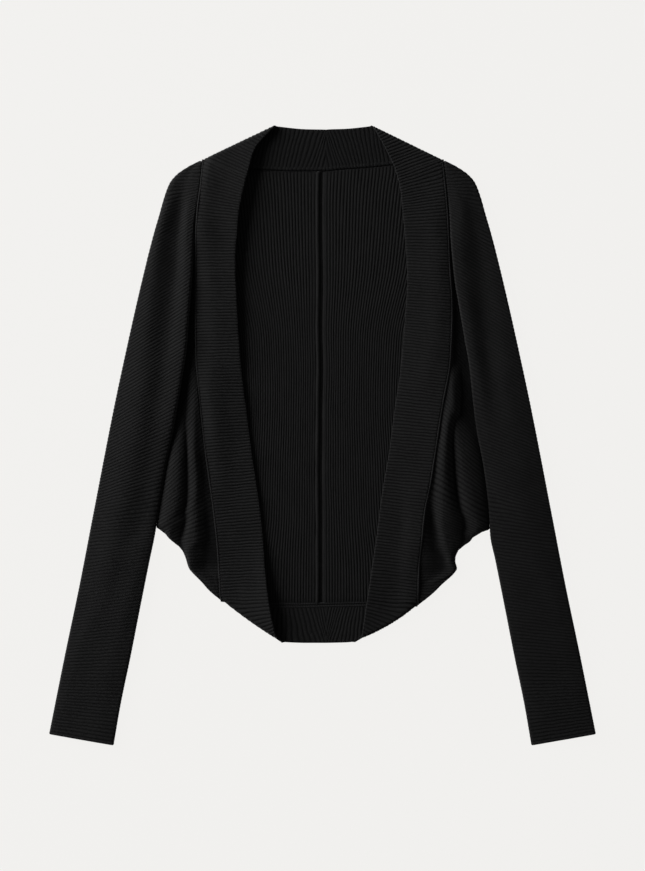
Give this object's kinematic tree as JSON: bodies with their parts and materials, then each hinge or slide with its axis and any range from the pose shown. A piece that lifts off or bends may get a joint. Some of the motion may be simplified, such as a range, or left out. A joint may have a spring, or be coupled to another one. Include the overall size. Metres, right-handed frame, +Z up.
{
  "type": "knitted open-front shrug",
  "caption": "Open-front shrug in rib knit with batwing sleeves and a continuous rib band round its opening, lying flat with its fronts up.",
  "frame": {"origin": "middle of the spread-out shrug, on the surface that it lies on", "axes": "+Y towards the neck, +X to the viewer's right as seen from above with the neck away, +Z up from the surface"},
  "size_m": [0.6018, 0.682, 0.01],
  "materials": {
    "panel_knit": "black fine rib knit, soft and matt",
    "band_knit": "black fine rib knit, ribs across the band"
  },
  "bodies": {
    "root": {"back_left": "panel_knit", "back_right": "panel_knit", "sleeve_left": "panel_knit", "sleeve_right": "panel_knit", "side_left": "panel_knit", "side_right": "panel_knit", "neck_band_left": "band_knit", "neck_band_right": "band_knit", "front_band_left": "band_knit", "front_band_right": "band_knit", "hem_band_left": "band_knit", "hem_band_right": "band_knit"}
  },
  "joints": []
}
